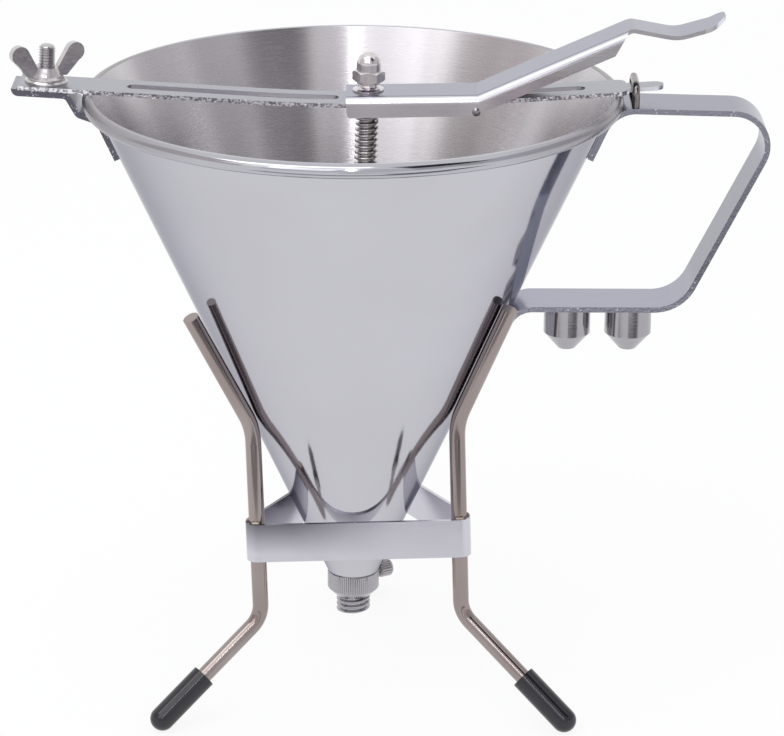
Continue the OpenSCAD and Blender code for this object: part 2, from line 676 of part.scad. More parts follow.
// Spring: a wire ring carried round a helix
module return_spring() {
    per = 16;
    sides = 6;
    n = spring_turns*per;
    r = (spring_d - spring_wire)/2;
    rise = spring_len - spring_wire;
    pts = [for (i = [0 : n]) let(a = 360*i/per, h = spring_wire/2 + rise*i/n)
        for (k = [0 : sides - 1]) let(b = 360*k/sides, q = r + spring_wire/2*cos(b))
            [q*cos(a), q*sin(a), h + spring_wire/2*sin(b)]];
    faces = concat([[for (k = [0 : sides - 1]) k]],
        [for (i = [0 : n - 1], k = [0 : sides - 1]) let(m = (k + 1) % sides)
            [i*sides + m, i*sides + k, (i + 1)*sides + k, (i + 1)*sides + m]],
        [[for (k = [sides - 1 : -1 : 0]) n*sides + k]]);
    color(warm) on_rod(spring_top - spring_len) polyhedron(pts, faces);
}

// The stand leans about the point where the lines square to the cone meet, so the cone still fits
tilt_z = rest_z + rest_r*tan(cone_slope);
module in_stand() {
    translate([0, 0, tilt_z]) rotate([0, -stand_lean, 0]) translate([0, 0, -tilt_z]) children();
}

// Stand: a bent band round three bent wires with rubber caps
module stand_band() {
    r = wire_d/2 + weld_gap;
    color(bluish) in_stand() translate([0, 0, band_z]) linear_extrude(band_h) for (a = [90, 210, 330]) {
        p = polar(leg_r, a);
        q = polar(leg_r, a + 120);
        u = dirn(p, q);
        translate(p) rotate(atan2(u[1], u[0])) translate([0, -r - band_t]) square([size2(q - p), band_t]);
        translate(p) rotate(a - 60 - tuck(r)) intersection() {
            difference() {
                circle(r = r + band_t - ease);
                circle(r = r + ease);
            }
            polygon([[0, 0], polar(20, 0), polar(20, 60 + tuck(r)), polar(20, 120 + 2*tuck(r))]);
        }
    }
}

arm_end = [leg_r, arm_z] + arm_len*[sin(arm_slope), cos(arm_slope)];
// Height of a foot's end in the leaning stand, so that each cap touches the table
function foot_z(a) = tilt_z
    - (tilt_z - cap_d/2 + foot_r*cos(a)*sin(stand_lean))/cos(stand_lean);
function foot_dir(a) = dirn([leg_r, knee_z], [foot_r, foot_z(a)]);
module leg(a) {
    toe = [foot_r, foot_z(a)] - 1.5*foot_dir(a);
    color(warm) in_stand() rotate([0, 0, a]) rotate([90, 0, 0])
        bent_wire([arm_end, [leg_r, arm_z], [leg_r, knee_z], toe], [0, arm_bend, knee_bend, 0], wire_d);
}
module leg_left() { leg(210); }
module leg_right() { leg(330); }
module leg_rear() { leg(90); }

module foot_cap(a) {
    color(dark) in_stand() rotate([0, 0, a]) translate([foot_r, 0, foot_z(a)])
        rotate([0, 90 - atan2(foot_dir(a)[1], foot_dir(a)[0]), 0]) difference() {
            union() {
                sphere(d = cap_d, $fn = 40);
                translate([0, 0, -cap_len]) cylinder(h = cap_len, d = cap_d, $fn = 40);
            }
            translate([0, 0, -cap_len - 1]) cylinder(h = cap_len - 0.5, d = wire_d, $fn = 40);
        }
}
module foot_left() { foot_cap(210); }
module foot_right() { foot_cap(330); }
module foot_rear() { foot_cap(90); }

hopper_cone();
outlet_bush();
lock_screw();
bar_lug();
clamp_stud();
clamp_washer();
wing_nut();
handle();
keeper_loop();
nozzle_studs();
nozzle_inner();
nozzle_outer();
crossbar();
pivot_sleeve();
pivot_pin();
lever();
valve_rod();
valve_ball();
cap_nut();
dome_washer();
spring_collar();
return_spring();
stand_band();
leg_left();
leg_right();
leg_rear();
foot_left();
foot_right();
foot_rear();
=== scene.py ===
import math

import bmesh
import bpy
from mathutils import Euler, Matrix, Vector


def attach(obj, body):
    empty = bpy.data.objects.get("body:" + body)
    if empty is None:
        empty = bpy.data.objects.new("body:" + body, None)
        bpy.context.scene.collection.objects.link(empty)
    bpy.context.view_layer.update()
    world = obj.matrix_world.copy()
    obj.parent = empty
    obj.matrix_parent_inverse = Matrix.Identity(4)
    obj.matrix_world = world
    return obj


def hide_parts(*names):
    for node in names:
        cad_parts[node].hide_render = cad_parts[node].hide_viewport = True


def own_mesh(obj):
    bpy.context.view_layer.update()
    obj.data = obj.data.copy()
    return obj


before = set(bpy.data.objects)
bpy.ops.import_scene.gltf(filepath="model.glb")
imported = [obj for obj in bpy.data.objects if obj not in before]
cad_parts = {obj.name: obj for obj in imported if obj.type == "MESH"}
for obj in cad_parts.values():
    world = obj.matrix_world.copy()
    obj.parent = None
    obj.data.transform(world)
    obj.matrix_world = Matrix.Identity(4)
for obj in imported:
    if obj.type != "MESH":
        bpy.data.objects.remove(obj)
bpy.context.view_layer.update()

# Camera: a standing cook's eye about 1.2 m away, looking down on the hopper by 20 degrees.
# A long lens keeps the rim a calm ellipse. Nothing is out of focus.
LOOK_DOWN = 0.349
CAMERA_ROLL = 0.004
camera = bpy.data.objects.new("camera", bpy.data.cameras.new("camera"))
bpy.context.scene.collection.objects.link(camera)
camera.data.sensor_width = 36.0
camera.data.lens = 151.25
camera.data.dof.use_dof = False
camera.location = (0.01404, -1.12114, 0.53277)
aimed = Euler((math.pi / 2 - LOOK_DOWN, 0, 0)).to_matrix()
camera.rotation_euler = (aimed @ Matrix.Rotation(CAMERA_ROLL, 3, "Z")).to_euler()
bpy.context.scene.camera = camera
bpy.context.scene.view_settings.view_transform = "Standard"


# Room: a white studio. Camera, mirror and glass rays meet plain white, all others a soft grey
# light, so that white surroundings don't burn out the pale metal.
def colour(code):
    """Turns an sRGB hex value to linear numbers."""
    parts = [int(code[i:i + 2], 16) / 255 for i in (1, 3, 5)]
    return [p / 12.92 if p <= 0.04045 else ((p + 0.055) / 1.055) ** 2.4 for p in parts] + [1.0]


def node(tree, kind, sockets, **settings):
    """Adds one node: its sockets get numbers, colours or links, its settings their words."""
    made = tree.nodes.new(kind)
    for name, value in settings.items():
        setattr(made, name, value)
    for name, value in sockets.items():
        if isinstance(value, bpy.types.NodeSocket):
            tree.links.new(value, made.inputs[name])
        else:
            made.inputs[name].default_value = value
    return made


def sees_white(tree):
    """1 for rays from the camera, from metal and through glass, 0 for the rest."""
    path = node(tree, "ShaderNodeLightPath", {})
    first = node(tree, "ShaderNodeMath", {
        0: path.outputs["Is Camera Ray"], 1: path.outputs["Is Glossy Ray"]}, operation="MAXIMUM")
    return node(tree, "ShaderNodeMath", {
        0: first.outputs[0], 1: path.outputs["Is Transmission Ray"]}, operation="MAXIMUM").outputs[0]


ROOM_LIGHT = 0.92
world = bpy.data.worlds.new("white_studio")
bpy.context.scene.world = world
world.use_nodes = True
tree = world.node_tree
tree.nodes.clear()
room = node(tree, "ShaderNodeBackground", {"Color": colour("#F4F5F8"), "Strength": ROOM_LIGHT})
white = node(tree, "ShaderNodeBackground", {"Color": (1, 1, 1, 1), "Strength": 1.0})
shown = node(tree, "ShaderNodeMixShader", {
    0: sees_white(tree), 1: room.outputs[0], 2: white.outputs[0]})
node(tree, "ShaderNodeOutputWorld", {"Surface": shown.outputs[0]})

# Table: a large white laminate sheet. It is white to the camera and the metal, and an eighth of it
# still answers to the lamps, so the stand keeps a faint shadow.
TABLE_SIZE = 3.0
TABLE_DROP = 0.0002
SHADOW_SHARE = 0.13
bpy.ops.object.select_all(action="DESELECT")
bpy.ops.mesh.primitive_plane_add(size=TABLE_SIZE, location=(0, 0, -TABLE_DROP))
table = bpy.context.object
table.name = "table_top"
laminate = bpy.data.materials.new("white_laminate")
laminate.use_nodes = True
tree = laminate.node_tree
tree.nodes.clear()
lit = node(tree, "ShaderNodeBsdfDiffuse", {"Color": colour("#FFFFFF")})
plain = node(tree, "ShaderNodeEmission", {"Color": (1, 1, 1, 1), "Strength": 1.0})
seen = node(tree, "ShaderNodeMath", {0: sees_white(tree), 1: 1 - SHADOW_SHARE}, operation="MULTIPLY")
top = node(tree, "ShaderNodeMixShader", {0: seen.outputs[0], 1: lit.outputs[0], 2: plain.outputs[0]})
node(tree, "ShaderNodeOutputMaterial", {"Surface": top.outputs[0]})
table.data.materials.append(laminate)


# Lamps: a large soft box high on the left, a narrow strip over the camera that draws the bright
# line down the inside of the cone, a soft window beside it, and a long box overhead for the edges.
# Each hangs at a place, is aimed at a point, and has a width, a height and its watts.
def soft_box(name, place, aim, width, height, watts):
    """Hangs a rectangular lamp at a place and turns it to a point."""
    lamp = bpy.data.objects.new(name, bpy.data.lights.new(name, "AREA"))
    bpy.context.scene.collection.objects.link(lamp)
    lamp.data.shape = "RECTANGLE"
    lamp.data.size = width
    lamp.data.size_y = height
    lamp.data.energy = watts
    lamp.location = place
    lamp.rotation_euler = (Vector(aim) - Vector(place)).to_track_quat("-Z", "Y").to_euler()


HOPPER_MIDDLE = (0, 0, 0.18)
soft_box("key_box", (-0.95, -0.95, 1.15), HOPPER_MIDDLE, 1.0, 0.95, 1.35)
soft_box("strip_over_camera", (0.0, -1.3, 1.05), HOPPER_MIDDLE, 0.06, 0.9, 1.5)
soft_box("window_left", (-0.5, -1.3, 1.1), HOPPER_MIDDLE, 0.75, 0.9, 2.0)
soft_box("overhead_box", (-0.49, -0.48, 1.5), (-0.49, -0.4, 0.2), 1.22, 0.5, 3.4)


# Room panels: matt grey boards that the polished metal shows as its darker parts. Three stand as
# walls, one is a screen on the right, two flags hang beside the lamps, a dark one on the right and
# a pale one on the left, and the cards lie on the table.
def panel(name, code, place, turn, width, height):
    """Sets up a grey board that only reflections meet."""
    bpy.ops.object.select_all(action="DESELECT")
    bpy.ops.mesh.primitive_plane_add(size=1, location=place, rotation=turn)
    board = bpy.context.object
    board.name = name
    board.scale = (width, height, 1)
    board.visible_camera = False
    board.visible_shadow = False
    board.visible_diffuse = False
    paint = bpy.data.materials.new(name + "_paint")
    paint.use_nodes = True
    tree = paint.node_tree
    tree.nodes.clear()
    grey = node(tree, "ShaderNodeEmission", {"Color": colour(code), "Strength": 1.0})
    node(tree, "ShaderNodeOutputMaterial", {"Surface": grey.outputs[0]})
    board.data.materials.append(paint)


UPRIGHT = math.pi / 2
panel("wall_behind", "#E4E2E6", (0, -2.4, 1.3), (UPRIGHT, 0, 0), 3.6, 2.2)
panel("wall_left", "#DAD3D4", (-1.3, -0.5, 0.9), (UPRIGHT, 0, math.pi / 2), 1.6, 1.3)
panel("wall_right", "#D2D0D4", (1.3, -0.2, 0.9), (UPRIGHT, 0, math.pi / 2), 2.2, 1.3)
panel("screen_right", "#BDBBC0", (0.838, -0.992, 1.25), (UPRIGHT, 0, math.radians(39)), 0.67, 1.65)
panel("flag_right", "#2E2A32", (0.638, -0.637, 1.52), (UPRIGHT, 0, math.radians(38.5)), 0.61, 1.4)
panel("flag_left", "#D6D0CD", (-0.83, -0.34, 0.89), (UPRIGHT, 0, math.radians(-68)), 0.42, 0.42)
# Each card on the table: its grey, its near and far side in front of the object, left and right.
CARDS = {
    "card_near": ("#A6A4A9", 0.208, 0.31, -0.21, 0.21),
    "card_nozzle": ("#757378", 0.26, 0.43, 0.09, 0.42),
    "card_lever": ("#BBB9BE", 0.76, 1.1, -0.07, 0.28),
}
CARD_LIFT = 0.0004
for name, (grey, near, far, left, right) in CARDS.items():
    middle = ((left + right) / 2, -(near + far) / 2, CARD_LIFT)
    panel(name, grey, middle, (0, 0, 0), right - left, far - near)

# Hopper: a cone rolled from 0.9 mm stainless sheet, its rim bent out sharply and curled under to a
# 5 mm bead. Outside it is buffed to a soft mirror, inside brushed round, and the bead is polished.
MM = 0.001


def turned(name, rings, sides, closed=False):
    """Lathe work about Z: a circle is extruded from ring to ring, each a radius and height in mm.
    A closed one has its last ring joined to its first, any other gets its two ends filled."""
    bpy.ops.object.select_all(action="DESELECT")
    radius, height = rings[0]
    bpy.ops.mesh.primitive_circle_add(vertices=sides, radius=radius * MM, location=(0, 0, height * MM))
    piece = bpy.context.object
    piece.name = name
    bpy.ops.object.transform_apply(location=True)
    bpy.ops.object.mode_set(mode="EDIT")
    bpy.ops.mesh.select_all(action="SELECT")
    for (r1, z1), (r2, z2) in zip(rings, rings[1:]):
        bpy.ops.mesh.extrude_edges_move(TRANSFORM_OT_translate={"value": (0, 0, (z2 - z1) * MM)})
        bpy.ops.transform.resize(value=(r2 / r1, r2 / r1, 1), center_override=(0, 0, z2 * MM))
    pick_open_edges(piece)
    if closed:
        bpy.ops.mesh.bridge_edge_loops()
    else:
        bpy.ops.mesh.fill_holes(sides=0)
    bpy.ops.mesh.select_all(action="SELECT")
    bpy.ops.mesh.normals_make_consistent(inside=False)
    bpy.ops.object.mode_set(mode="OBJECT")
    return piece


def pick_open_edges(piece):
    """Selects the edges that border one face or none, in edit mode."""
    bpy.ops.mesh.select_mode(type="EDGE")
    bpy.ops.mesh.select_all(action="DESELECT")
    shape = bmesh.from_edit_mesh(piece.data)
    for edge in shape.edges:
        edge.select = len(edge.link_faces) < 2
    shape.select_flush_mode()
    bmesh.update_edit_mesh(piece.data)


def smooth(piece, degrees=35):
    """Shades round stretches smooth and leaves corners sharper than this sharp."""
    bpy.ops.object.select_all(action="DESELECT")
    piece.select_set(True)
    bpy.context.view_layer.objects.active = piece
    bpy.ops.object.shade_smooth_by_angle(angle=math.radians(degrees))


def metal(name, code, roughness):
    """Starts a metal: its colour and roughness, to which each finish adds its own marks."""
    made = bpy.data.materials.new(name)
    made.use_nodes = True
    shader = made.node_tree.nodes["Principled BSDF"]
    shader.inputs["Base Color"].default_value = colour(code)
    shader.inputs["Metallic"].default_value = 1.0
    shader.inputs["Roughness"].default_value = roughness
    return made, made.node_tree, shader


def round_the_axis(tree, turns_per_ring, lines_per_m):
    """Coordinates for marks left by turning: far along the ring, close together up the axis."""
    place = node(tree, "ShaderNodeTexCoord", {}).outputs["Object"]
    apart = node(tree, "ShaderNodeSeparateXYZ", {0: place})
    angle = node(tree, "ShaderNodeMath", {
        0: apart.outputs["Y"], 1: apart.outputs["X"]}, operation="ARCTAN2")
    along = node(tree, "ShaderNodeMath", {0: angle.outputs[0], 1: turns_per_ring}, operation="MULTIPLY")
    up = node(tree, "ShaderNodeMath", {0: apart.outputs["Z"], 1: lines_per_m}, operation="MULTIPLY")
    return node(tree, "ShaderNodeCombineXYZ", {0: along.outputs[0], 2: up.outputs[0]}).outputs[0]


RIM_D = 190.0
BEAD_R = 2.5
WALL = 0.9
SLOPE = math.radians(24.4)
ROLL = 1.2
LIP_Z = 46.4466
LIP_R = 9.65
bead_middle = RIM_D / 2 - BEAD_R
bead_z = LIP_Z + (bead_middle - ROLL - LIP_R) / math.tan(SLOPE)
skin = WALL / math.cos(SLOPE)


def bead_meets(offset):
    """Height, from the bead's middle, at which a wall this far inside it enters the bead."""
    k = math.tan(SLOPE)
    return (offset * k - math.sqrt(BEAD_R ** 2 * (1 + k * k) - offset ** 2)) / (1 + k * k)


low_out = bead_meets(ROLL)
bead_start = math.atan2(low_out, -ROLL + low_out * math.tan(SLOPE))
BEAD_STEPS = 28
CREST_R = 0.5
CREST_STEPS = 6
WALL_STEPS = 8
SHELL_SIDES = 192
bead = [bead_start + (math.pi / 2 - bead_start) * i / BEAD_STEPS for i in range(BEAD_STEPS + 1)]
bead = [(bead_middle + BEAD_R * math.cos(a), bead_z + BEAD_R * math.sin(a)) for a in bead]
crest_turn = math.pi / 2 - SLOPE
crest_z = bead_z + BEAD_R - CREST_R
crest_r = bead_middle - ROLL - skin + BEAD_R * math.tan(SLOPE) + CREST_R * math.tan(crest_turn / 2)
crest = [math.pi / 2 + crest_turn * i / CREST_STEPS for i in range(CREST_STEPS + 1)]
crest = [(crest_r + CREST_R * math.cos(a), crest_z + CREST_R * math.sin(a)) for a in crest]


def wall_rings(foot, head):
    """Rings up a straight wall, so that no face is a long sliver."""
    shares = [i / WALL_STEPS for i in range(WALL_STEPS + 1)]
    return [tuple(low + (high - low) * share for low, high in zip(foot, head)) for share in shares]


outside = wall_rings((LIP_R, LIP_Z), bead[0])
inside = wall_rings(crest[-1], (LIP_R - skin, LIP_Z))
shell = turned("hopper_shell", outside[:-1] + bead + crest[:-1] + inside, SHELL_SIDES, closed=True)
smooth(shell, 40)

# Buffed outside: a soft mirror. Upright polishing marks about 1 mm apart, coarser than real ones so
# that they show, barely blur it, and the tone changes a little over patches of about 45 mm.
buffed, tree, shader = metal("buffed_stainless_sheet", "#C4C5CC", 0.11)
place = node(tree, "ShaderNodeTexCoord", {}).outputs["Object"]
drawn = node(tree, "ShaderNodeMapping", {"Vector": place, "Scale": (900, 900, 25)})
grain = node(tree, "ShaderNodeTexNoise", {"Vector": drawn.outputs[0], "Scale": 1.0, "Detail": 2.0})
cloud = node(tree, "ShaderNodeTexNoise", {"Vector": place, "Scale": 22.0, "Detail": 2.0})
tone = node(tree, "ShaderNodeMixRGB", {
    "Fac": cloud.outputs["Fac"], "Color1": colour("#BFBEC4"), "Color2": colour("#C9C8D0")})
tree.links.new(tone.outputs[0], shader.inputs["Base Color"])
shader.inputs["Specular Tint"].default_value = colour("#C4C4CA")
haze = node(tree, "ShaderNodeMapRange", {"Value": grain.outputs["Fac"], "To Min": 0.05, "To Max": 0.11})
tree.links.new(haze.outputs[0], shader.inputs["Roughness"])
relief = node(tree, "ShaderNodeBump", {
    "Height": grain.outputs["Fac"], "Strength": 0.02, "Distance": 0.0002})
tree.links.new(relief.outputs[0], shader.inputs["Normal"])

# Brushed inside: grit marks run round the cone, about 0.4 mm apart, over broad, faint bands down
# the wall that are painted reflections, lighter and darker stripes of the room mirrored in it. The
# narrow lower part is painted a little darker, a painted shade.
brushed, tree, shader = metal("brushed_stainless_inside", "#B9B6BB", 0.3)
shader.inputs["Anisotropic"].default_value = 0.9
shader.inputs["Anisotropic Rotation"].default_value = 0.25
spun = round_the_axis(tree, 6.0, 2500.0)
grain = node(tree, "ShaderNodeTexNoise", {
    "Vector": spun, "Scale": 1.0, "Detail": 3.0, "Roughness": 0.6})
# Painted reflection: broad light and dark bands down the wall stand in for the room mirrored in it.
reflection_band_coords = round_the_axis(tree, 4.0, 0.6)
painted_reflection_bands = node(tree, "ShaderNodeTexNoise", {"Vector": reflection_band_coords, "Scale": 1.2, "Detail": 1.0})
spread = node(tree, "ShaderNodeMapRange", {
    "Value": painted_reflection_bands.outputs["Fac"], "From Min": 0.36, "From Max": 0.66, "To Min": 0.0, "To Max": 1.0})
tone = node(tree, "ShaderNodeMixRGB", {
    "Fac": spread.outputs[0], "Color1": colour("#BEBBBF"), "Color2": colour("#CFCCCE")})
lines = node(tree, "ShaderNodeMapRange", {
    "Value": grain.outputs["Fac"], "From Min": 0.3, "From Max": 0.7, "To Min": 0.95, "To Max": 1.05})
place = node(tree, "ShaderNodeTexCoord", {}).outputs["Object"]
depth = node(tree, "ShaderNodeSeparateXYZ", {0: place})
# Painted shade: the colour falls to 93 per cent towards the narrow lower part of the wall.
painted_lower_shade = node(tree, "ShaderNodeMapRange", {
    "Value": depth.outputs["Z"], "From Min": 0.19, "From Max": 0.222, "To Min": 0.93, "To Max": 1.02})
share = node(tree, "ShaderNodeMath", {0: lines.outputs[0], 1: painted_lower_shade.outputs[0]}, operation="MULTIPLY")
shade = node(tree, "ShaderNodeVectorMath", {
    0: tone.outputs[0], "Scale": share.outputs[0]}, operation="SCALE")
tree.links.new(shade.outputs[0], shader.inputs["Base Color"])
rub = node(tree, "ShaderNodeMapRange", {"Value": grain.outputs["Fac"], "To Min": 0.21, "To Max": 0.32})
tree.links.new(rub.outputs[0], shader.inputs["Roughness"])
ring = node(tree, "ShaderNodeTangent", {}, direction_type="RADIAL", axis="Z")
tree.links.new(ring.outputs[0], shader.inputs["Tangent"])
relief = node(tree, "ShaderNodeBump", {
    "Height": grain.outputs["Fac"], "Strength": 0.035, "Distance": 0.0001})
tree.links.new(relief.outputs[0], shader.inputs["Normal"])

# Polished bead: nearly a mirror, with a few faint rubs, and duller at the sides, by the welds.
polished, tree, shader = metal("polished_stainless_rim", "#BDBDC3", 0.07)
spun = round_the_axis(tree, 30.0, 300.0)
rubs = node(tree, "ShaderNodeTexNoise", {"Vector": spun, "Scale": 1.0, "Detail": 2.0})
haze = node(tree, "ShaderNodeMapRange", {"Value": rubs.outputs["Fac"], "To Min": 0.04, "To Max": 0.14})
apart = node(tree, "ShaderNodeSeparateXYZ", {0: node(tree, "ShaderNodeTexCoord", {}).outputs["Object"]})
sideways = node(tree, "ShaderNodeMath", {0: apart.outputs["X"]}, operation="ABSOLUTE")
by_weld = node(tree, "ShaderNodeMapRange", {
    "Value": sideways.outputs[0], "From Min": 0.05, "From Max": 0.085})
duller = node(tree, "ShaderNodeMath", {
    0: by_weld.outputs[0], 1: 0.2, 2: haze.outputs[0]}, operation="MULTIPLY_ADD")
tree.links.new(duller.outputs[0], shader.inputs["Roughness"])
tone = node(tree, "ShaderNodeMixRGB", {
    "Fac": by_weld.outputs[0], "Color1": colour("#B8B8BF"), "Color2": colour("#99969B")})
tree.links.new(tone.outputs[0], shader.inputs["Base Color"])

for finish_of in (buffed, brushed, polished):
    shell.data.materials.append(finish_of)
for face in shell.data.polygons:
    middle = face.center
    reach = math.hypot(middle.x, middle.y)
    on_top = face.normal.z > 0.6 or reach > (bead_middle - 0.3 * BEAD_R) * MM
    in_bead = middle.z > (bead_z + low_out) * MM and on_top
    faces_out = face.normal.x * middle.x + face.normal.y * middle.y > 0
    face.material_index = 2 if in_bead else 0 if faces_out else 1
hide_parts("hopper_cone")
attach(shell, "hopper")

# Outlet: turned from stainless bar, with a fluted collar to grip, a cone down to a coarse 12.4 mm
# thread for the nozzles, a bore, and inside the hopper the seat of the valve.
COLLAR_R = 9.5
BORE_R = 4.0
THREAD_R = 6.2
THREAD_ROOT = 5.35
THREAD_PITCH = 2.0
COLLAR_LOW = 39.05
CHAMFER_LOW = 36.05
OUTLET_Z = 30.05
GROOVE_Z = 45.8
GROOVE_DEEP = 0.5
SEAT_Z = 44.82
SPIGOT_R = 8.62
SPIGOT_Z = LIP_Z + 2.5
FLUTES = 72
GRIP_SIDES = 4 * FLUTES
collar = turned("outlet_collar", [
    (BORE_R, CHAMFER_LOW), (COLLAR_R - 3.0, CHAMFER_LOW), (COLLAR_R - 0.15, COLLAR_LOW),
    (COLLAR_R, COLLAR_LOW + 0.3), (COLLAR_R, GROOVE_Z - 0.2), (COLLAR_R - 0.2, GROOVE_Z),
    (COLLAR_R - GROOVE_DEEP, GROOVE_Z + 0.02), (COLLAR_R - GROOVE_DEEP, LIP_Z),
    (SPIGOT_R, LIP_Z + 0.02), (SPIGOT_R, SPIGOT_Z), (SPIGOT_R - 0.5, SPIGOT_Z),
    (BORE_R, SEAT_Z)], GRIP_SIDES, closed=True)


def press_flutes(piece, sides, beyond, low, high, share):
    """Pulls every fourth line of points in, where the wall is wide enough and between two heights."""
    bpy.ops.object.mode_set(mode="EDIT")
    bpy.ops.mesh.select_mode(type="VERT")
    bpy.ops.mesh.select_all(action="DESELECT")
    shape = bmesh.from_edit_mesh(piece.data)
    for point in shape.verts:
        line = round(math.atan2(point.co.y, point.co.x) / (2 * math.pi) * sides)
        wide = math.hypot(point.co.x, point.co.y) > beyond * MM
        point.select = wide and low < point.co.z / MM < high and line % 4 == 0
    shape.select_flush_mode()
    bmesh.update_edit_mesh(piece.data)
    bpy.ops.transform.resize(value=(share, share, 1), center_override=(0, 0, 0))
    bpy.ops.object.mode_set(mode="OBJECT")


press_flutes(collar, GRIP_SIDES, COLLAR_R - 0.05, COLLAR_LOW + 0.2, GROOVE_Z - 0.1, 0.98)
MERGE_DISTANCE = 0.00001


def thread(name, crest, root, pitch, low, high, sides=40, bore=0.0):
    """Cuts a screw thread about Z between two heights: one pitch of outline carried round a helix.
    The outline goes root, flank, crest, flank, root. With a bore it is a tube, else its ends are
    filled."""
    bpy.ops.object.select_all(action="DESELECT")
    bpy.ops.mesh.primitive_plane_add(size=MM, location=(0, 0, 0))
    piece = bpy.context.object
    piece.name = name
    bpy.ops.object.mode_set(mode="EDIT")
    bpy.ops.mesh.select_all(action="SELECT")
    bpy.ops.mesh.merge(type="CENTER")
    bpy.ops.transform.translate(value=(root * MM, 0, (low - 2 * pitch) * MM))
    outline = [(0, 0.12), (crest - root, 0.28), (0, 0.2), (root - crest, 0.28), (0, 0.12)]
    for outward, share in outline:
        bpy.ops.mesh.extrude_vertices_move(
            TRANSFORM_OT_translate={"value": (outward * MM, 0, share * pitch * MM)})
    bpy.ops.object.mode_set(mode="OBJECT")
    helix = piece.modifiers.new("helix", "SCREW")
    helix.angle = 2 * math.pi
    helix.screw_offset = pitch * MM
    helix.iterations = int((high - low) / pitch) + 4
    helix.steps = sides
    helix.render_steps = sides
    helix.use_merge_vertices = True
    helix.merge_threshold = MERGE_DISTANCE
    bpy.ops.object.modifier_apply(modifier="helix")
    bpy.ops.object.mode_set(mode="EDIT")
    bpy.ops.mesh.select_all(action="SELECT")
    bpy.ops.mesh.remove_doubles(threshold=MERGE_DISTANCE)
    bpy.ops.mesh.bisect(plane_co=(0, 0, high * MM), plane_no=(0, 0, 1), clear_outer=True)
    bpy.ops.mesh.select_all(action="SELECT")
    bpy.ops.mesh.bisect(plane_co=(0, 0, low * MM), plane_no=(0, 0, 1), clear_inner=True)
    pick_open_edges(piece)
    if bore:
        bpy.ops.mesh.extrude_edges_move(TRANSFORM_OT_translate={"value": (0, 0, 0)})
        shape = bmesh.from_edit_mesh(piece.data)
        for point in shape.verts:
            if point.select:
                scale = bore * MM / math.hypot(point.co.x, point.co.y)
                point.co.x *= scale
                point.co.y *= scale
        bmesh.update_edit_mesh(piece.data)
        bpy.ops.mesh.bridge_edge_loops()
    else:
        bpy.ops.mesh.fill_holes(sides=0)
    bpy.ops.mesh.select_all(action="SELECT")
    bpy.ops.mesh.normals_make_consistent(inside=False)
    bpy.ops.object.mode_set(mode="OBJECT")
    return piece


def joined(whole, *parts):
    """Makes one mesh of several."""
    bpy.ops.object.select_all(action="DESELECT")
    for part in (whole, *parts):
        part.select_set(True)
    bpy.context.view_layer.objects.active = whole
    bpy.ops.object.join()
    return whole


nose = thread(
    "outlet_thread", THREAD_R, THREAD_ROOT, THREAD_PITCH, OUTLET_Z, CHAMFER_LOW + 0.05, bore=BORE_R)
outlet = joined(collar, nose)
smooth(outlet, 30)

# Turned bar: bright, with fine rings from the lathe tool every 0.2 mm.
lathe, tree, shader = metal("turned_stainless_bar", "#B5B2B4", 0.2)
spun = round_the_axis(tree, 1.5, 5000.0)
rings = node(tree, "ShaderNodeTexNoise", {"Vector": spun, "Scale": 1.0, "Detail": 1.0})
tone = node(tree, "ShaderNodeMixRGB", {
    "Fac": rings.outputs["Fac"], "Color1": colour("#97959A"), "Color2": colour("#B6B4B9")})
tree.links.new(tone.outputs[0], shader.inputs["Base Color"])
haze = node(tree, "ShaderNodeMapRange", {"Value": rings.outputs["Fac"], "To Min": 0.08, "To Max": 0.18})
tree.links.new(haze.outputs[0], shader.inputs["Roughness"])
relief = node(tree, "ShaderNodeBump", {
    "Height": rings.outputs["Fac"], "Strength": 0.2, "Distance": 0.00005})
tree.links.new(relief.outputs[0], shader.inputs["Normal"])
outlet.data.materials.append(lathe)
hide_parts("outlet_bush")
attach(outlet, "hopper")

# Lock screw: a small knurled thumb screw in the side of the collar, turned from the same bar. It
# points 30 degrees to the back, and its knurl is a little specked and duller than the collar.
LOCK_Z = 43.2466
LOCK_ANGLE = math.radians(30)
HEAD_R = 3.2
HEAD_SIDES = 80
SHANK_R = 1.4
head_low = COLLAR_R + 1
screw = turned("lock_thumb_screw", [
    (0.6, BORE_R + 1.75), (SHANK_R, BORE_R + 2.2), (SHANK_R, head_low), (HEAD_R - 0.5, head_low),
    (HEAD_R, head_low + 0.5), (HEAD_R, head_low + 4.4), (HEAD_R - 0.5, head_low + 5.1),
    (1.6, head_low + 5.5), (0.5, head_low + 5.6)], HEAD_SIDES)
press_flutes(screw, HEAD_SIDES, HEAD_R - 0.1, head_low, head_low + 5, 0.9)
smooth(screw, 30)
screw.matrix_world = (Matrix.Translation((0, 0, LOCK_Z * MM)) @ Matrix.Rotation(LOCK_ANGLE, 4, "Z")
    @ Matrix.Rotation(math.pi / 2, 4, "Y"))
bpy.ops.object.transform_apply(location=True, rotation=True, scale=True)
knurled, tree, shader = metal("knurled_stainless_head", "#9D999A", 0.26)
place = node(tree, "ShaderNodeTexCoord", {}).outputs["Object"]
specks = node(tree, "ShaderNodeTexNoise", {"Vector": place, "Scale": 1800.0, "Detail": 2.0})
tone = node(tree, "ShaderNodeMixRGB", {
    "Fac": specks.outputs["Fac"], "Color1": colour("#9B989B"), "Color2": colour("#CCCACC")})
tree.links.new(tone.outputs[0], shader.inputs["Base Color"])
screw.data.materials.append(knurled)
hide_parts("lock_screw")
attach(screw, "lock_screw")
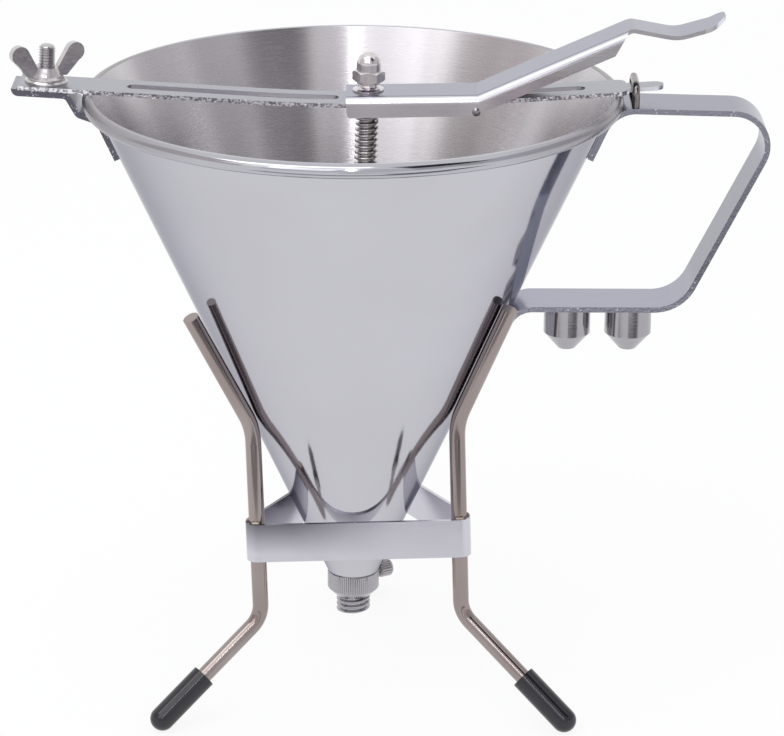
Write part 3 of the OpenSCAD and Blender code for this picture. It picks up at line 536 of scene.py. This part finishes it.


# Crossbar and lug: strips sheared from stainless sheet, so their faces are smooth and bluish and
# their cut edges are torn, with painted glints, near-white specks in their colour. The lug is welded
# to the cone under the rim.
def sheared_strip(
        name, face_code, dark_code, edge_code, sparkle, roughness, half_width, tear=0.4, torn_haze=0.0):
    """Strip material: drawn faces, and outer sides that are rough from the shear, with painted glints.
    The sparkle is the noise level above which a torn crystal gets a painted glint, a near-white colour,
    and tear is how deep the shear tore."""
    made, tree, shader = metal(name, face_code, roughness)
    spot = node(tree, "ShaderNodeTexCoord", {})
    place = spot.outputs["Object"]
    side = node(tree, "ShaderNodeSeparateXYZ", {0: spot.outputs["Normal"]})
    sideways = node(tree, "ShaderNodeMath", {0: side.outputs["Y"]}, operation="ABSOLUTE")
    turned_out = node(tree, "ShaderNodeMapRange", {
        "Value": sideways.outputs[0], "From Min": 0.7, "From Max": 0.95})
    apart = node(tree, "ShaderNodeSeparateXYZ", {0: place})
    across = node(tree, "ShaderNodeMath", {0: apart.outputs["Y"]}, operation="ABSOLUTE")
    outer = node(tree, "ShaderNodeMath", {
        0: across.outputs[0], 1: (half_width - 2) * MM}, operation="GREATER_THAN")
    cut = node(tree, "ShaderNodeMath", {
        0: turned_out.outputs[0], 1: outer.outputs[0]}, operation="MULTIPLY")
    drawn = node(tree, "ShaderNodeMapping", {"Vector": place, "Scale": (40, 1600, 1600)})
    grain = node(tree, "ShaderNodeTexNoise", {"Vector": drawn.outputs[0], "Scale": 1.0, "Detail": 2.0})
    torn = node(tree, "ShaderNodeTexNoise", {
        "Vector": place, "Scale": 1100.0, "Detail": 2.0, "Roughness": 0.6})
    face_tone = node(tree, "ShaderNodeMixRGB", {
        "Fac": grain.outputs["Fac"], "Color1": colour(dark_code), "Color2": colour(face_code)})
    # Painted glints: where the noise passes the sparkle level, the cut edge turns near-white.
    torn_share = node(tree, "ShaderNodeMapRange", {
        "Value": torn.outputs["Fac"], "From Min": sparkle, "From Max": sparkle + 0.12})
    torn_tone_with_painted_glints = node(tree, "ShaderNodeMixRGB", {
        "Fac": torn_share.outputs[0], "Color1": colour(edge_code), "Color2": colour("#F2F2F6")})
    tone = node(tree, "ShaderNodeMixRGB", {
        "Fac": cut.outputs[0], "Color1": face_tone.outputs[0], "Color2": torn_tone_with_painted_glints.outputs[0]})
    # Painted light: the inner walls, in the slot, are painted a pale grey as if lit inside the slot.
    inner = node(tree, "ShaderNodeMath", {
        0: turned_out.outputs[0], 1: cut.outputs[0]}, operation="SUBTRACT")
    slot_wall_painted_light = node(tree, "ShaderNodeMixRGB", {
        "Fac": inner.outputs[0], "Color1": tone.outputs[0], "Color2": colour("#DDDDE4")})
    tree.links.new(slot_wall_painted_light.outputs[0], shader.inputs["Base Color"])
    height = node(tree, "ShaderNodeMath", {
        0: torn.outputs["Fac"], 1: cut.outputs[0]}, operation="MULTIPLY")
    relief = node(tree, "ShaderNodeBump", {
        "Height": height.outputs[0], "Strength": tear, "Distance": 0.0004})
    fine = node(tree, "ShaderNodeBump", {
        "Height": grain.outputs["Fac"], "Strength": 0.08, "Distance": 0.0001,
        "Normal": relief.outputs[0]})
    tree.links.new(fine.outputs[0], shader.inputs["Normal"])
    haze = node(tree, "ShaderNodeMapRange", {
        "Value": grain.outputs["Fac"], "To Min": roughness * 0.8, "To Max": roughness * 1.3})
    rougher = node(tree, "ShaderNodeMath", {
        0: cut.outputs[0], 1: torn_haze, 2: haze.outputs[0]}, operation="MULTIPLY_ADD")
    slot_haze = node(tree, "ShaderNodeMath", {
        0: inner.outputs[0], 1: 0.08, 2: rougher.outputs[0]}, operation="MULTIPLY_ADD")
    tree.links.new(slot_haze.outputs[0], shader.inputs["Roughness"])
    return made


def dress(names, finish):
    """Gives CAD nodes their finish."""
    for name in names:
        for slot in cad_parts[name].material_slots:
            slot.material = finish


BAR_HALF_WIDTH = 8.5
LUG_HALF_WIDTH = 8.75
dress(["crossbar"], sheared_strip(
    "sheared_stainless_bar", "#A9ABB4", "#93959E", "#92919A", 0.43, 0.22, BAR_HALF_WIDTH, 0.9, 0.1))
dress(["bar_lug"], sheared_strip(
    "sheared_stainless_lug", "#A1A3AC", "#85878F", "#605E68", 0.62, 0.22, LUG_HALF_WIDTH))

# Handle: one strip of 2 mm stainless, bent round and welded at both ends. Its faces are drawn, its
# edges are left as they were cut, and the grip is painted darker than the top run, a painted shade,
# and the lower run lighter, painted light.
STRIP_HALF_WIDTH = 10.5
strip = sheared_strip(
    "bent_stainless_strip", "#9799A6", "#858795", "#8C8D99", 0.64, 0.2, STRIP_HALF_WIDTH)
tree = strip.node_tree
shader = tree.nodes["Principled BSDF"]
unshaded_tone = shader.inputs["Base Color"].links[0].from_socket
# Painted light and shade: the lower run is painted lighter and the grip darker than the top run.
apart = node(tree, "ShaderNodeSeparateXYZ", {0: node(tree, "ShaderNodeTexCoord", {}).outputs["Object"]})
low_run = node(tree, "ShaderNodeMapRange", {
    "Value": apart.outputs["Z"], "From Min": 0.154, "From Max": 0.163, "To Min": 1.26, "To Max": 0.8})
top_run = node(tree, "ShaderNodeMapRange", {
    "Value": apart.outputs["Z"], "From Min": 0.2, "From Max": 0.214, "To Min": 1.0, "To Max": 1.25})
painted_light_and_shade = node(tree, "ShaderNodeMath", {
    0: low_run.outputs[0], 1: top_run.outputs[0]}, operation="MULTIPLY")
shade = node(tree, "ShaderNodeVectorMath", {0: unshaded_tone, "Scale": painted_light_and_shade.outputs[0]}, operation="SCALE")
tree.links.new(shade.outputs[0], shader.inputs["Base Color"])
dress(["handle"], strip)

# Lever: pressed from 1.5 mm stainless sheet. Its two flanges are painted paler than the drawn top,
# painted light, and the rounded long edges between them nearly white, a painted highlight. Past the
# bend the flanges are painted darker, a painted shade, and ahead of it a little lighter.
pressed, tree, shader = metal("pressed_stainless_lever", "#A1A3AF", 0.16)
spot = node(tree, "ShaderNodeTexCoord", {})
place = spot.outputs["Object"]
drawn = node(tree, "ShaderNodeMapping", {"Vector": place, "Scale": (50, 1500, 1500)})
grain = node(tree, "ShaderNodeTexNoise", {"Vector": drawn.outputs[0], "Scale": 1.0, "Detail": 2.0})
top_tone = node(tree, "ShaderNodeMixRGB", {
    "Fac": grain.outputs["Fac"], "Color1": colour("#9092A0"), "Color2": colour("#A1A3B1")})
# Painted light: faces turned sideways get a paler tone than the top.
painted_lit_flange_tone = node(tree, "ShaderNodeMixRGB", {
    "Fac": grain.outputs["Fac"], "Color1": colour("#CBC8CC"), "Color2": colour("#DBD8DB")})
side = node(tree, "ShaderNodeSeparateXYZ", {0: spot.outputs["Normal"]})
sideways = node(tree, "ShaderNodeMath", {0: side.outputs["Y"]}, operation="ABSOLUTE")
painted_flange_light_mask = node(tree, "ShaderNodeMapRange", {
    "Value": sideways.outputs[0], "From Min": 0.85, "From Max": 0.98})
past_top = node(tree, "ShaderNodeMapRange", {
    "Value": sideways.outputs[0], "From Min": 0.3, "From Max": 0.5})
before_side = node(tree, "ShaderNodeMapRange", {
    "Value": sideways.outputs[0], "From Min": 0.88, "From Max": 0.76})
rounded = node(tree, "ShaderNodeMath", {
    0: past_top.outputs[0], 1: before_side.outputs[0]}, operation="MULTIPLY")
# Painted highlight: the rounded long edges are mixed towards near-white.
bright = node(tree, "ShaderNodeMixRGB", {
    "Fac": rounded.outputs[0], "Color1": top_tone.outputs[0], "Color2": colour("#E2E2E8")})
apart = node(tree, "ShaderNodeSeparateXYZ", {0: place})
# Painted shade: the flanges are painted darker past the bend and a little lighter ahead of it.
painted_light_and_shade = node(tree, "ShaderNodeMapRange", {
    "Value": apart.outputs["X"], "From Min": 0.06, "From Max": 0.08, "To Min": 1.08, "To Max": 0.68})
flange_shade = node(tree, "ShaderNodeVectorMath", {
    0: painted_lit_flange_tone.outputs[0], "Scale": painted_light_and_shade.outputs[0]}, operation="SCALE")
tone = node(tree, "ShaderNodeMixRGB", {
    "Fac": painted_flange_light_mask.outputs[0], "Color1": bright.outputs[0], "Color2": flange_shade.outputs[0]})
tree.links.new(tone.outputs[0], shader.inputs["Base Color"])
haze = node(tree, "ShaderNodeMapRange", {"Value": grain.outputs["Fac"], "To Min": 0.12, "To Max": 0.24})
tree.links.new(haze.outputs[0], shader.inputs["Roughness"])
relief = node(tree, "ShaderNodeBump", {
    "Height": grain.outputs["Fac"], "Strength": 0.02, "Distance": 0.0001})
tree.links.new(relief.outputs[0], shader.inputs["Normal"])
dress(["lever"], pressed)

# Clamp: an M6 stud with a rolled 1 mm thread stands in the lug, and a washer and a cast wing nut
# hold the crossbar down on it.
STUD_R = 2.9
STUD_ROOT = 2.45
STUD_PITCH = 1.0
STUD_SIDES = 28
STUD_FOOT = -3.58
STUD_TOP = 13.4
STUD_X = 107.8
CLAMP_Z = 230.629
CLAMP_LEAN = math.radians(3.35065)
BAR_HALF = 0.75 / math.cos(CLAMP_LEAN)
stud = thread(
    "clamp_thread", STUD_R, STUD_ROOT, STUD_PITCH, STUD_FOOT, STUD_TOP - 0.7, sides=STUD_SIDES)
tip = turned("clamp_tip", [
    (STUD_ROOT, STUD_TOP - 0.8), (2.5, STUD_TOP - 0.7), (2.1, STUD_TOP - 0.15),
    (1.6, STUD_TOP)], STUD_SIDES)
stud = joined(stud, tip)
smooth(stud, 40)
stud.matrix_world = (Matrix.Translation((-STUD_X * MM, 0, CLAMP_Z * MM))
    @ Matrix.Rotation(CLAMP_LEAN, 4, "Y") @ Matrix.Translation((0, 0, BAR_HALF * MM)))
bpy.ops.object.transform_apply(location=True, rotation=True, scale=True)
rolled, tree, shader = metal("rolled_steel_thread", "#A8A3A4", 0.2)
place = node(tree, "ShaderNodeTexCoord", {}).outputs["Object"]
specks = node(tree, "ShaderNodeTexNoise", {"Vector": place, "Scale": 1500.0, "Detail": 2.0})
tone = node(tree, "ShaderNodeMixRGB", {
    "Fac": specks.outputs["Fac"], "Color1": colour("#A8A4A8"), "Color2": colour("#CFCCCE")})
tree.links.new(tone.outputs[0], shader.inputs["Base Color"])
stud.data.materials.append(rolled)
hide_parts("clamp_stud")
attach(stud, "hopper")

# Cast nickel of the wing nut: slightly lumpy, warm grey and darker in its hollows.
cast, tree, shader = metal("cast_nickel_wings", "#A9A4A3", 0.22)
place = node(tree, "ShaderNodeTexCoord", {}).outputs["Object"]
lumps = node(tree, "ShaderNodeTexNoise", {"Vector": place, "Scale": 420.0, "Detail": 3.0})
tone = node(tree, "ShaderNodeMixRGB", {
    "Fac": lumps.outputs["Fac"], "Color1": colour("#B2AEB1"), "Color2": colour("#E0DDDD")})
tree.links.new(tone.outputs[0], shader.inputs["Base Color"])
relief = node(tree, "ShaderNodeBump", {
    "Height": lumps.outputs["Fac"], "Strength": 0.25, "Distance": 0.0006})
tree.links.new(relief.outputs[0], shader.inputs["Normal"])
dress(["wing_nut", "clamp_washer"], cast)

# Keeper: a staple of 2.6 mm wire, welded to the handle's top run, under which the crossbar's tongue
# slips. The heat of its welds browned it a little.
browned, tree, shader = metal("browned_steel_wire", "#8F857F", 0.16)
place = node(tree, "ShaderNodeTexCoord", {}).outputs["Object"]
heat = node(tree, "ShaderNodeTexNoise", {"Vector": place, "Scale": 260.0, "Detail": 2.0})
tone = node(tree, "ShaderNodeMixRGB", {
    "Fac": heat.outputs["Fac"], "Color1": colour("#6B6664"), "Color2": colour("#9A9594")})
tree.links.new(tone.outputs[0], shader.inputs["Base Color"])
dress(["keeper_loop"], browned)

# Cap nut and trumpet washer: turned and polished. They sit on the valve rod's upper end, where the
# lever lifts them, and are warm grey with a few dull patches.
nut_polish, tree, shader = metal("polished_cap_nut", "#BDB6B5", 0.13)
place = node(tree, "ShaderNodeTexCoord", {}).outputs["Object"]
dull = node(tree, "ShaderNodeTexNoise", {"Vector": place, "Scale": 500.0, "Detail": 2.0})
tone = node(tree, "ShaderNodeMixRGB", {
    "Fac": dull.outputs["Fac"], "Color1": colour("#C8C2C5"), "Color2": colour("#E8E3E4")})
tree.links.new(tone.outputs[0], shader.inputs["Base Color"])
haze = node(tree, "ShaderNodeMapRange", {"Value": dull.outputs["Fac"], "To Min": 0.08, "To Max": 0.22})
tree.links.new(haze.outputs[0], shader.inputs["Roughness"])
dress(["cap_nut", "dome_washer"], nut_polish)

# Spare nozzles, screwed on their two studs under the handle, and the lever's pin in its tube: all
# turned from bar, as the outlet is.
dress(["nozzle_inner", "nozzle_outer", "nozzle_studs", "pivot_sleeve", "pivot_pin"], lathe)

# Valve: a leaning stainless rod with a ball at its foot and a collar that carries the spring. It is
# ground on a centreless grinder, which leaves dull rings every 0.3 mm.
ground, tree, shader = metal("ground_stainless_rod", "#D6D4D6", 0.14)
spun = round_the_axis(tree, 2.0, 3000.0)
rings = node(tree, "ShaderNodeTexNoise", {"Vector": spun, "Scale": 1.0, "Detail": 1.0})
haze = node(tree, "ShaderNodeMapRange", {"Value": rings.outputs["Fac"], "To Min": 0.2, "To Max": 0.36})
tree.links.new(haze.outputs[0], shader.inputs["Roughness"])
dress(["valve_rod", "valve_ball", "spring_collar"], ground)

# Return spring: a coil of 1.15 mm spring wire round the rod, pressed between the crossbar and the
# rod's collar. Its end coils are closed, though here it is wound at one even pitch.
SPRING_R = 3.625
SPRING_WIRE = 0.575
SPRING_TURNS = 26
SPRING_LEN = 55.0
SPRING_TOP = 174.968
BALL_Z = 49.4516
LEAN = math.radians(1.69434)
bpy.ops.object.select_all(action="DESELECT")
bpy.ops.mesh.primitive_circle_add(
    vertices=12, radius=SPRING_WIRE * MM, location=(SPRING_R * MM, 0, SPRING_WIRE * MM),
    rotation=(math.pi / 2, 0, 0))
coil = bpy.context.object
coil.name = "spring_coil"
bpy.ops.object.transform_apply(location=True, rotation=True)
helix = coil.modifiers.new("helix", "SCREW")
helix.angle = 2 * math.pi
helix.screw_offset = (SPRING_LEN - 2 * SPRING_WIRE) / SPRING_TURNS * MM
helix.iterations = SPRING_TURNS
helix.steps = 24
helix.render_steps = 24
bpy.ops.object.modifier_apply(modifier="helix")
bpy.ops.object.mode_set(mode="EDIT")
pick_open_edges(coil)
bpy.ops.mesh.fill_holes(sides=0)
bpy.ops.mesh.select_all(action="SELECT")
bpy.ops.mesh.normals_make_consistent(inside=False)
bpy.ops.object.mode_set(mode="OBJECT")
smooth(coil, 60)
rod_axis = Vector((math.sin(LEAN), 0, math.cos(LEAN)))
spring_foot = Vector((0, 0, BALL_Z)) + rod_axis * (SPRING_TOP - SPRING_LEN)
coil.matrix_world = Matrix.Translation(spring_foot * MM) @ Matrix.Rotation(LEAN, 4, "Y")
bpy.ops.object.transform_apply(location=True, rotation=True, scale=True)
sprung, tree, shader = metal("spring_steel_wire", "#9B9590", 0.14)
place = node(tree, "ShaderNodeTexCoord", {}).outputs["Object"]
draw = node(tree, "ShaderNodeTexNoise", {"Vector": place, "Scale": 700.0, "Detail": 2.0})
tone = node(tree, "ShaderNodeMixRGB", {
    "Fac": draw.outputs["Fac"], "Color1": colour("#B5B1B1"), "Color2": colour("#DAD7D7")})
tree.links.new(tone.outputs[0], shader.inputs["Base Color"])
coil.data.materials.append(sprung)
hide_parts("return_spring")
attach(coil, "hopper")
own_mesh(coil)

# Stand wires: 5.8 mm stainless wire, bent and polished. It is warm brown and grey in long patches,
# with drawing marks along it that blur its stripes of light a little.
wire, tree, shader = metal("polished_stand_wire", "#B3AAA6", 0.12)
place = node(tree, "ShaderNodeTexCoord", {}).outputs["Object"]
drawn = node(tree, "ShaderNodeMapping", {"Vector": place, "Scale": (700, 700, 30)})
grain = node(tree, "ShaderNodeTexNoise", {"Vector": drawn.outputs[0], "Scale": 1.0, "Detail": 2.0})
patch = node(tree, "ShaderNodeTexNoise", {"Vector": place, "Scale": 35.0, "Detail": 1.0})
tone = node(tree, "ShaderNodeMixRGB", {
    "Fac": patch.outputs["Fac"], "Color1": colour("#8C7F7B"), "Color2": colour("#AAA1A0")})
tree.links.new(tone.outputs[0], shader.inputs["Base Color"])
haze = node(tree, "ShaderNodeMapRange", {"Value": grain.outputs["Fac"], "To Min": 0.12, "To Max": 0.16})
tree.links.new(haze.outputs[0], shader.inputs["Roughness"])
dress(["leg_left", "leg_right", "leg_rear"], wire)

# Stand band: a strip of 1.2 mm stainless bent round the three wires, with a satin grain along it
# and faint clouds. Its upper part on the left is painted darker, a painted dark reflection.
satin, tree, shader = metal("satin_stainless_band", "#B7B7BF", 0.24)
place = node(tree, "ShaderNodeTexCoord", {}).outputs["Object"]
drawn = node(tree, "ShaderNodeMapping", {"Vector": place, "Scale": (60, 60, 1800)})
grain = node(tree, "ShaderNodeTexNoise", {"Vector": drawn.outputs[0], "Scale": 1.0, "Detail": 2.0})
cloud = node(tree, "ShaderNodeTexNoise", {"Vector": place, "Scale": 60.0, "Detail": 2.0})
tone = node(tree, "ShaderNodeMixRGB", {
    "Fac": cloud.outputs["Fac"], "Color1": colour("#C6C5CE"), "Color2": colour("#D5D4DC")})
# Painted reflection: the upper left of the band is painted dark grey, standing in for a dark
# reflection.
apart = node(tree, "ShaderNodeSeparateXYZ", {0: place})
near_top = node(tree, "ShaderNodeMapRange", {
    "Value": apart.outputs["Z"], "From Min": 0.062, "From Max": 0.074})
on_left = node(tree, "ShaderNodeMapRange", {
    "Value": apart.outputs["X"], "From Min": 0.016, "From Max": -0.022})
dark_reflection_mask = node(tree, "ShaderNodeMath", {
    0: near_top.outputs[0], 1: on_left.outputs[0]}, operation="MULTIPLY")
painted_dark_reflection = node(tree, "ShaderNodeMixRGB", {
    "Fac": dark_reflection_mask.outputs[0], "Color1": tone.outputs[0], "Color2": colour("#75737C")})
tree.links.new(painted_dark_reflection.outputs[0], shader.inputs["Base Color"])
relief = node(tree, "ShaderNodeBump", {
    "Height": grain.outputs["Fac"], "Strength": 0.05, "Distance": 0.0001})
tree.links.new(relief.outputs[0], shader.inputs["Normal"])
dress(["stand_band"], satin)


# Welds: short seams of overlapping ripples. They hold the handle's and the lug's tabs to the cone
# along both sides, and each wire to the top of the band, where the heat left straw and brown tints.
def weld_seam(name, foot, head, radius, body, part, finish):
    """Lays a rippled seam between two points in mm."""
    run = Vector(head) - Vector(foot)
    ripples = max(2, round(run.length / radius))
    rings = [(0.4 * radius, 0)]
    for i in range(ripples):
        rings.append((0.8 * radius, run.length * (i + 0.15) / ripples))
        rings.append((radius, run.length * (i + 0.6) / ripples))
    seam = turned(name, rings + [(0.4 * radius, run.length)], SEAM_SIDES)
    smooth(seam, 50)
    along = run.to_track_quat("Z", "Y").to_matrix().to_4x4()
    seam.matrix_world = Matrix.Translation(Vector(foot) * MM) @ along
    bpy.ops.object.transform_apply(location=True, rotation=True, scale=True)
    seam.data.materials.append(finish)
    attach(seam, body)


SEAM_SIDES = 14
WELD_TONES = {"tinted_weld": ("#7C6A5E", "#C2B8AE"), "bright_weld": ("#77777F", "#B4B4BB")}
welds = {}
for name, (dark_code, light_code) in WELD_TONES.items():
    welds[name], tree, shader = metal(name, light_code, 0.24)
    place = node(tree, "ShaderNodeTexCoord", {}).outputs["Object"]
    heat = node(tree, "ShaderNodeTexNoise", {"Vector": place, "Scale": 330.0, "Detail": 2.0})
    tone = node(tree, "ShaderNodeMixRGB", {
        "Fac": heat.outputs["Fac"], "Color1": colour(dark_code), "Color2": colour(light_code)})
    tree.links.new(tone.outputs[0], shader.inputs["Base Color"])

# Each tab: which side of X it is on, half its width, and the heights between which it is welded.
TABS = {
    "handle_top": (1, 10.6, 208.0, 220.5),
    "handle_low": (1, 10.6, 143.6, 150.0),
    "lug": (-1, 8.85, 206.0, 217.5),
}
TAB_SEAM = 0.75
for tab, (way, half, low, high) in TABS.items():
    for rim_side, across in (("near", -half), ("far", half)):
        reach = [LIP_R + (z - LIP_Z) * math.tan(SLOPE) for z in (low, high)]
        ends = [(way * math.sqrt(r ** 2 - half ** 2), across, z) for r, z in zip(reach, (low, high))]
        part = "bar_lug" if tab == "lug" else "handle"
        weld_seam(tab + "_weld_" + rim_side, *ends, TAB_SEAM, "hopper", part, welds["bright_weld"])

# Each wire: two seams on the band's top, one on either side. They lean with the stand.
LEG_R = 42.2
BAND_TOP = 74.5
WIRE_R = 2.9
WIRE_SEAM = 0.7
WIRE_SEAM_HALF = 1.5
WIRE_SEAM_SPREAD = 0.62
STAND_LEAN = math.radians(1.8)
TILT_Z = 134.213
stand_frame = (Matrix.Translation((0, 0, TILT_Z)) @ Matrix.Rotation(-STAND_LEAN, 4, "Y")
    @ Matrix.Translation((0, 0, -TILT_Z)))
for leg, angle in (("leg_rear", 90), ("leg_left", 210), ("leg_right", 330)):
    a = math.radians(angle)
    wire_middle = Vector((LEG_R * math.cos(a), LEG_R * math.sin(a), BAND_TOP + 0.3))
    for side, turn in (("a", 90), ("b", -90)):
        out = math.radians(angle + turn * WIRE_SEAM_SPREAD)
        touch = wire_middle + Vector((math.cos(out), math.sin(out), 0)) * (WIRE_R + 0.2)
        along = Vector((-math.sin(out), math.cos(out), 0)) * WIRE_SEAM_HALF
        ends = (stand_frame @ (touch - along), stand_frame @ (touch + along))
        weld_seam(leg + "_weld_" + side, *ends, WIRE_SEAM, "stand", leg, welds["tinted_weld"])

# Foot caps: black vinyl, glossy, with the soft waves of a dipped skin about 6 mm long. They are
# pushed over the ends of the wires.
vinyl = bpy.data.materials.new("dipped_black_vinyl")
vinyl.use_nodes = True
tree = vinyl.node_tree
shader = tree.nodes["Principled BSDF"]
shader.inputs["Roughness"].default_value = 0.13
shader.inputs["IOR"].default_value = 1.52
place = node(tree, "ShaderNodeTexCoord", {}).outputs["Object"]
waves = node(tree, "ShaderNodeTexNoise", {"Vector": place, "Scale": 160.0, "Detail": 2.0})
tone = node(tree, "ShaderNodeMixRGB", {
    "Fac": waves.outputs["Fac"], "Color1": colour("#18161C"), "Color2": colour("#27242C")})
tree.links.new(tone.outputs[0], shader.inputs["Base Color"])
relief = node(tree, "ShaderNodeBump", {
    "Height": waves.outputs["Fac"], "Strength": 0.06, "Distance": 0.001})
tree.links.new(relief.outputs[0], shader.inputs["Normal"])
dress(["foot_left", "foot_right", "foot_rear"], vinyl)
